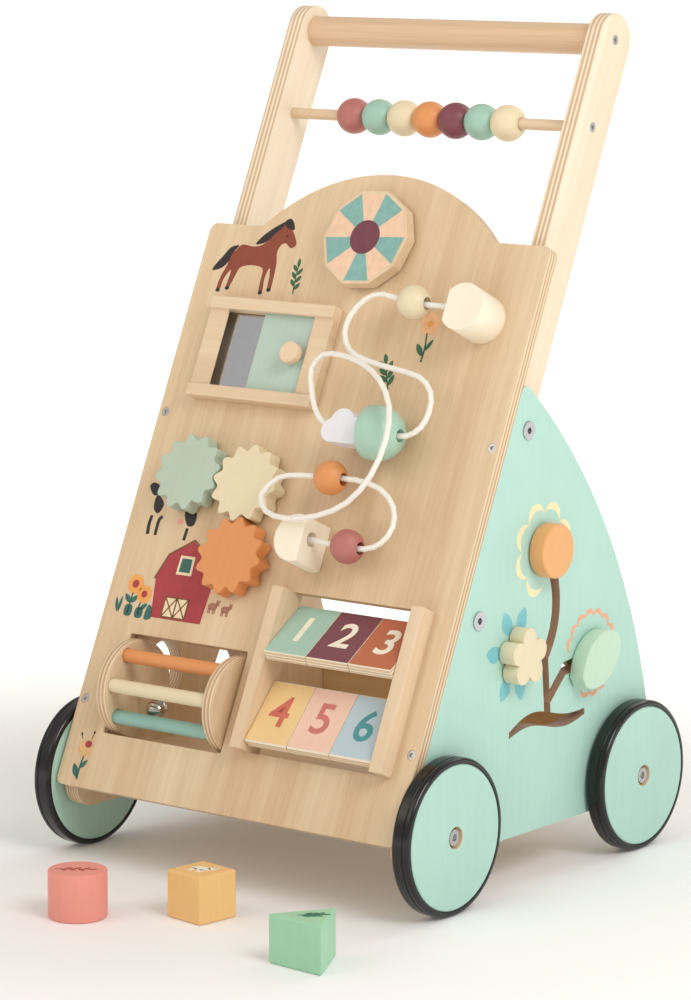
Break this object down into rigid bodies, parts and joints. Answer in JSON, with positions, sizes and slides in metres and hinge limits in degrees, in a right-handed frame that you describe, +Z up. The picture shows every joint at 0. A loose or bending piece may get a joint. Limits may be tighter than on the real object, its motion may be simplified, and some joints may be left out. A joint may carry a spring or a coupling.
{
  "type": "wooden activity baby walker",
  "caption": "Wooden push-along baby walker with a leaning activity panel, bead handle, gears, bead maze, drum, number tiles, storage box, rubber-tyred wheels and loose shape blocks.",
  "frame": {"origin": "on the floor, midway across, under the activity panel's lower front edge", "axes": "+Z up; -Y is the front, which the activity panel faces; +X is to the right seen from the front"},
  "size_m": [0.3478, 0.458, 0.5939],
  "materials": {
    "plywood": "satin",
    "beech": "satin",
    "mint_paint": "satin",
    "sage_paint": "satin",
    "cream_paint": "satin",
    "orange_paint": "satin",
    "rose_paint": "satin",
    "plum_paint": "satin",
    "yellow_paint": "satin",
    "coral_paint": "satin",
    "green_paint": "satin",
    "pale_blue_paint": "satin",
    "coated_wire": "satin",
    "steel": "polished",
    "mirror_film": "polished",
    "tyre_rubber": "satin"
  },
  "bodies": {
    "frame": {"front_panel": "plywood", "left_post": "plywood", "right_post": "plywood", "handle_bar": "beech", "bead_rod": "plywood", "left_side_panel": "mint_paint", "right_side_panel": "mint_paint", "storage_floor": "plywood", "rear_board": "plywood", "frame_screws": "steel", "wheel_bolts": "steel", "window_frame": "beech", "mirror_sheet": "mirror_film", "pivot_pins": "beech", "maze_upper_post": "cream_paint", "maze_lower_post": "cream_paint", "maze_wire": "coated_wire", "drum_cheeks": "plywood", "number_frame": "beech"},
    "front_left_wheel": {"wheel_front_left": "mint_paint", "tyre_front_left": "tyre_rubber"},
    "front_right_wheel": {"wheel_front_right": "mint_paint", "tyre_front_right": "tyre_rubber"},
    "rear_left_wheel": {"wheel_rear_left": "mint_paint", "tyre_rear_left": "tyre_rubber"},
    "rear_right_wheel": {"wheel_rear_right": "mint_paint", "tyre_rear_right": "tyre_rubber"},
    "door": {"sliding_door": "mint_paint", "door_knob": "beech"},
    "spinner_body": {"spinner": "sage_paint"},
    "cream_gear_body": {"cream_gear": "cream_paint"},
    "mint_gear_body": {"mint_gear": "sage_paint"},
    "orange_gear_body": {"orange_gear": "orange_paint"},
    "cream_ball": {"maze_cream_ball": "cream_paint"},
    "dome": {"maze_dome": "sage_paint"},
    "cloud": {"maze_cloud": "pale_blue_paint"},
    "orange_ball": {"maze_orange_ball": "orange_paint"},
    "rose_ball": {"maze_rose_ball": "rose_paint"},
    "drum": {"drum_discs": "plywood", "drum_bars": "orange_paint", "drum_bell_axle": "steel"},
    "number_tile_1": {"tile_1": "mint_paint"},
    "number_tile_2": {"tile_2": "plum_paint"},
    "number_tile_3": {"tile_3": "orange_paint"},
    "number_tile_4": {"tile_4": "yellow_paint"},
    "number_tile_5": {"tile_5": "rose_paint"},
    "number_tile_6": {"tile_6": "pale_blue_paint"},
    "round_toy": {"round_knob": "orange_paint"},
    "flower_toy": {"flower_knob": "cream_paint"},
    "leaf_toy": {"leaf_knob": "sage_paint"},
    "counting_bead_1": {"bead_1": "rose_paint"},
    "counting_bead_2": {"bead_2": "sage_paint"},
    "counting_bead_3": {"bead_3": "cream_paint"},
    "counting_bead_4": {"bead_4": "orange_paint"},
    "counting_bead_5": {"bead_5": "plum_paint"},
    "counting_bead_6": {"bead_6": "sage_paint"},
    "counting_bead_7": {"bead_7": "cream_paint"},
    "cylinder_block": {"block_cylinder": "coral_paint"},
    "cube_block": {"block_cube": "yellow_paint"},
    "prism_block": {"block_prism": "green_paint"}
  },
  "joints": [
    {"name": "front_left_roll", "type": "hinge", "parent": "frame", "child": "front_left_wheel", "pos_m": [-0.1585, 0.0475, 0.054], "axis": [1, 0, 0], "continuous": true},
    {"name": "front_right_roll", "type": "hinge", "parent": "frame", "child": "front_right_wheel", "pos_m": [0.1585, 0.0475, 0.054], "axis": [1, 0, 0], "continuous": true},
    {"name": "rear_left_roll", "type": "hinge", "parent": "frame", "child": "rear_left_wheel", "pos_m": [-0.1585, 0.276, 0.054], "axis": [1, 0, 0], "continuous": true},
    {"name": "rear_right_roll", "type": "hinge", "parent": "frame", "child": "rear_right_wheel", "pos_m": [0.1585, 0.276, 0.054], "axis": [1, 0, 0], "continuous": true},
    {"name": "door_slide", "type": "slide", "parent": "frame", "child": "door", "axis": [-1, 0, 0], "range_m": [0, 0.031]},
    {"name": "spinner_turn", "type": "hinge", "parent": "frame", "child": "spinner_body", "pos_m": [0, 0.17272, 0.433], "axis": [0, -0.91, 0.4147], "continuous": true},
    {"name": "cream_gear_turn", "type": "hinge", "parent": "frame", "child": "cream_gear_body", "pos_m": [-0.0448, 0.09538, 0.26329], "axis": [0, -0.91, 0.4147], "continuous": true},
    {"name": "mint_gear_turn", "type": "hinge", "parent": "frame", "child": "mint_gear_body", "pos_m": [-0.09773, 0.09653, 0.26582], "axis": [0, -0.91, 0.4147], "continuous": true},
    {"name": "orange_gear_turn", "type": "hinge", "parent": "frame", "child": "orange_gear_body", "pos_m": [-0.0411, 0.07345, 0.21518], "axis": [0, -0.91, 0.4147], "continuous": true},
    {"name": "cream_ball_slide", "type": "slide", "parent": "frame", "child": "cream_ball", "axis": [1, 0, 0], "range_m": [-0.005, 0.006]},
    {"name": "dome_slide", "type": "slide", "parent": "frame", "child": "dome", "axis": [1, 0, 0], "range_m": [0, 0.004]},
    {"name": "cloud_slide", "type": "slide", "parent": "frame", "child": "cloud", "axis": [1, 0, 0], "range_m": [-0.003, 0]},
    {"name": "orange_ball_slide", "type": "slide", "parent": "frame", "child": "orange_ball", "axis": [1, 0, 0], "range_m": [-0.005, 0.005]},
    {"name": "rose_ball_slide", "type": "slide", "parent": "frame", "child": "rose_ball", "axis": [1, 0, 0], "range_m": [-0.005, 0.005]},
    {"name": "drum_turn", "type": "hinge", "parent": "frame", "child": "drum", "pos_m": [0, 0.04372, 0.11979], "axis": [1, 0, 0], "continuous": true},
    {"name": "tile_1_turn", "type": "hinge", "parent": "frame", "child": "number_tile_1", "pos_m": [0, 0.05383, 0.17453], "axis": [1, 0, 0], "continuous": true},
    {"name": "tile_2_turn", "type": "hinge", "parent": "frame", "child": "number_tile_2", "pos_m": [0, 0.05383, 0.17453], "axis": [1, 0, 0], "continuous": true},
    {"name": "tile_3_turn", "type": "hinge", "parent": "frame", "child": "number_tile_3", "pos_m": [0, 0.05383, 0.17453], "axis": [1, 0, 0], "continuous": true},
    {"name": "tile_4_turn", "type": "hinge", "parent": "frame", "child": "number_tile_4", "pos_m": [0, 0.02978, 0.12175], "axis": [1, 0, 0], "continuous": true},
    {"name": "tile_5_turn", "type": "hinge", "parent": "frame", "child": "number_tile_5", "pos_m": [0, 0.02978, 0.12175], "axis": [1, 0, 0], "continuous": true},
    {"name": "tile_6_turn", "type": "hinge", "parent": "frame", "child": "number_tile_6", "pos_m": [0, 0.02978, 0.12175], "axis": [1, 0, 0], "continuous": true},
    {"name": "round_knob_travel", "type": "hinge", "parent": "frame", "child": "round_toy", "pos_m": [0.156, 0.1297, 0.1916], "axis": [1, 0, 0], "range_deg": [-58, 0]},
    {"name": "flower_turn", "type": "hinge", "parent": "frame", "child": "flower_toy", "pos_m": [0.156, 0.136, 0.162], "axis": [1, 0, 0], "continuous": true},
    {"name": "leaf_slide", "type": "slide", "parent": "frame", "child": "leaf_toy", "axis": [0, -0.9931, -0.1171], "range_m": [0, 0.024]},
    {"name": "bead_4_slide", "type": "slide", "parent": "frame", "child": "counting_bead_4", "axis": [1, 0, 0], "range_m": [-0.015, 0.015]},
    {"name": "bead_3_slide", "type": "slide", "parent": "counting_bead_4", "child": "counting_bead_3", "axis": [1, 0, 0], "range_m": [-0.0095, 0]},
    {"name": "bead_2_slide", "type": "slide", "parent": "counting_bead_3", "child": "counting_bead_2", "axis": [1, 0, 0], "range_m": [-0.0095, 0]},
    {"name": "bead_1_slide", "type": "slide", "parent": "counting_bead_2", "child": "counting_bead_1", "axis": [1, 0, 0], "range_m": [-0.0095, 0]},
    {"name": "bead_5_slide", "type": "slide", "parent": "counting_bead_4", "child": "counting_bead_5", "axis": [1, 0, 0], "range_m": [0, 0.0105]},
    {"name": "bead_6_slide", "type": "slide", "parent": "counting_bead_5", "child": "counting_bead_6", "axis": [1, 0, 0], "range_m": [0, 0.0105]},
    {"name": "bead_7_slide", "type": "slide", "parent": "counting_bead_6", "child": "counting_bead_7", "axis": [1, 0, 0], "range_m": [0, 0.0105]},
    {"name": "cylinder_lift", "type": "slide", "parent": "frame", "child": "cylinder_block", "axis": [0, 0, 1], "range_m": [0, 0.06]},
    {"name": "cube_lift", "type": "slide", "parent": "frame", "child": "cube_block", "axis": [0, 0, 1], "range_m": [0, 0.06]},
    {"name": "prism_lift", "type": "slide", "parent": "frame", "child": "prism_block", "axis": [0, 0, 1], "range_m": [0, 0.06]}
  ],
  "couplings": [
    {"joint": "mint_gear_turn", "follows": "cream_gear_turn", "ratio": -1},
    {"joint": "orange_gear_turn", "follows": "cream_gear_turn", "ratio": -1}
  ]
}
